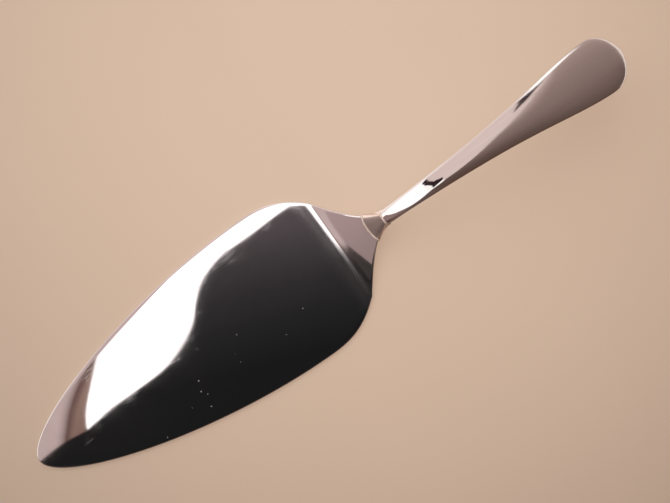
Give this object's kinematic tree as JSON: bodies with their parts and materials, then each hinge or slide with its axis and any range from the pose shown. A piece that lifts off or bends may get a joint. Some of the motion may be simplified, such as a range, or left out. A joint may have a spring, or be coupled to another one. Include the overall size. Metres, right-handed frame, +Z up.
{
  "type": "cake server",
  "caption": "Polished steel cake server: a leaf shaped blade that lies flat, a neck rising from a crease, a short bolster and a handle that broadens to a rounded end.",
  "frame": {"origin": "on the plane that the blade rests on, under the middle of the whole length and width", "axes": "+X from the blade's tip to the handle's end, +Z up from the resting plane, +Y to complete a right-handed frame"},
  "size_m": [0.26, 0.0624, 0.0299],
  "materials": {
    "blade_steel": "mirror polished stainless steel sheet with fine scratches",
    "bolster_steel": "polished stainless steel",
    "handle_steel": "polished stainless steel, slightly satin along its broad end",
    "braze": "pale smooth braze, dressed flush"
  },
  "bodies": {
    "root": {"blade": "blade_steel", "bolster": "bolster_steel", "handle": "handle_steel", "front_braze": "braze", "rear_braze": "braze"}
  },
  "joints": []
}
